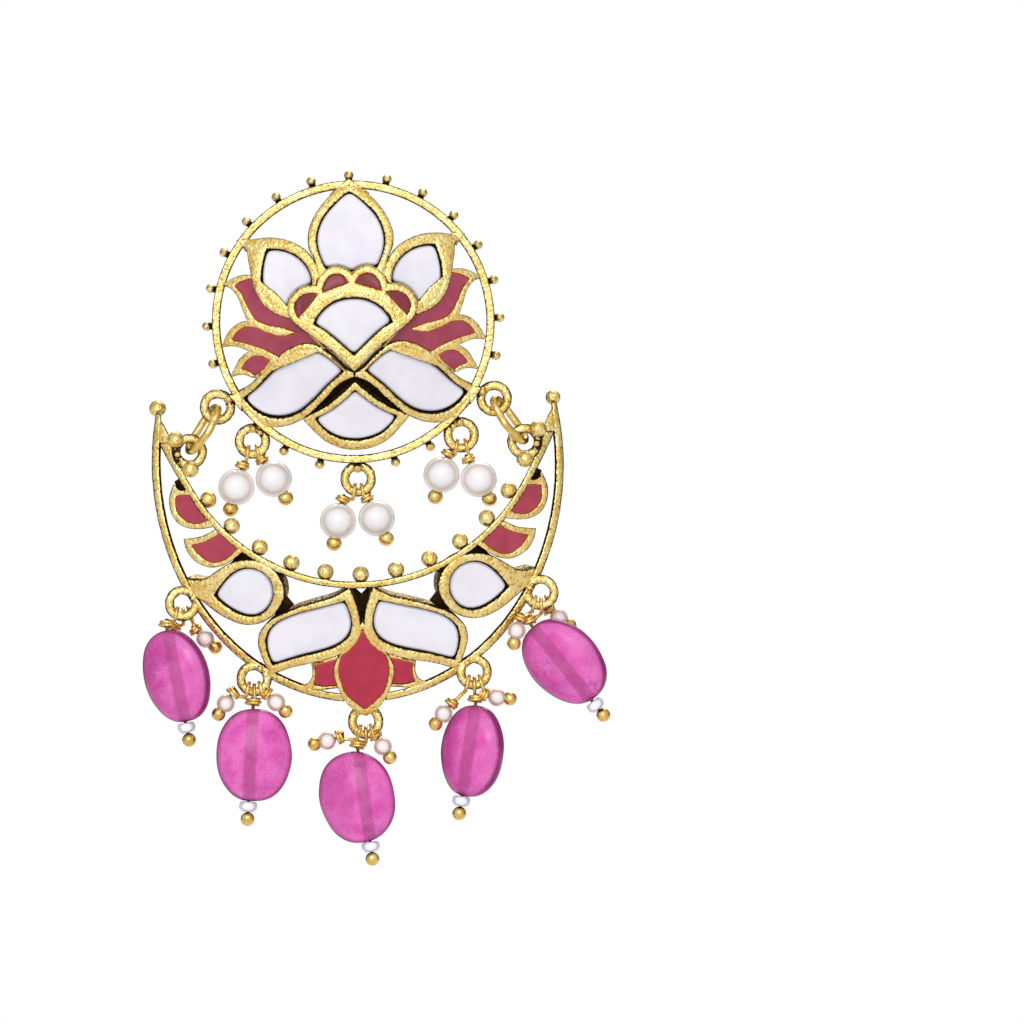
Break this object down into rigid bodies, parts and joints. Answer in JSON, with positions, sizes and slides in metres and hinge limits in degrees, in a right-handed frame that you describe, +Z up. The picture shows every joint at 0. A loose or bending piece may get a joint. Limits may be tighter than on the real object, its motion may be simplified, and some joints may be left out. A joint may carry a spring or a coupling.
{
  "type": "earring",
  "caption": "Drop earring: a walled lotus in a ball-edged ring, and a linked crescent hung with pink beads and pearls.",
  "frame": {"origin": "where the post passes the ear, on the middle of the post and the back plane of the round rim", "axes": "X across the earring, towards the right in its front view; +Y backwards along the post, so the earring faces -Y; Z up"},
  "size_m": [0.0536, 0.0226, 0.08],
  "materials": {
    "gold": "bright antique gold plate with dark recesses",
    "stone": "polished pale glass on foil",
    "enamel": "fired enamel",
    "pearl": "pearl lustre",
    "pink_bead": "polished translucent stone",
    "white_bead": "translucent white glass"
  },
  "bodies": {
    "frame": {"upper_frame": "gold", "ear_post": "gold", "stone_top": "stone", "stone_side_left": "stone", "stone_side_right": "stone", "stone_fan": "stone", "stone_leaf_left": "stone", "stone_leaf_right": "stone", "stone_base": "stone", "enamel_scallops": "enamel", "enamel_arms_left": "enamel", "enamel_arms_right": "enamel", "pearl_1": "pearl", "pearl_2": "pearl", "pearl_3": "pearl", "pearl_4": "pearl", "pearl_5": "pearl", "pearl_6": "pearl", "pearl_pins_left": "gold", "pearl_pins_middle": "gold", "pearl_pins_right": "gold"},
    "nut": {"ear_nut": "gold"},
    "links": {"link_left": "gold", "link_right": "gold"},
    "crescent": {"crescent_frame": "gold", "stone_drop_left": "stone", "stone_drop_right": "stone", "stone_wing_left": "stone", "stone_wing_right": "stone", "enamel_bud": "enamel", "enamel_tips_left": "enamel", "enamel_tips_right": "enamel", "pink_bead_1": "pink_bead", "pink_bead_2": "pink_bead", "pink_bead_3": "pink_bead", "pink_bead_4": "pink_bead", "pink_bead_5": "pink_bead", "bead_pin_1": "gold", "bead_pin_2": "gold", "bead_pin_3": "gold", "bead_pin_4": "gold", "bead_pin_5": "gold", "white_bead_1": "white_bead", "white_bead_2": "white_bead", "white_bead_3": "white_bead", "white_bead_4": "white_bead", "white_bead_5": "white_bead", "seed_pearls_1": "pearl", "seed_pearls_2": "pearl", "seed_pearls_3": "pearl", "seed_pearls_4": "pearl", "seed_pearls_5": "pearl", "seed_pins_1": "gold", "seed_pins_2": "gold", "seed_pins_3": "gold", "seed_pins_4": "gold", "seed_pins_5": "gold"}
  },
  "joints": [
    {"name": "nut_slide", "type": "slide", "parent": "frame", "child": "nut", "axis": [0, 1, 0], "range_m": [-0.0045, 0.01]},
    {"name": "links_swing", "type": "hinge", "parent": "frame", "child": "links", "pos_m": [0, -0.00095, -0.01529], "axis": [1, 0, 0], "range_deg": [-35, 18]},
    {"name": "crescent_swing", "type": "hinge", "parent": "links", "child": "crescent", "pos_m": [0, -0.00095, -0.01786], "axis": [1, 0, 0], "range_deg": [-18, 35]}
  ]
}
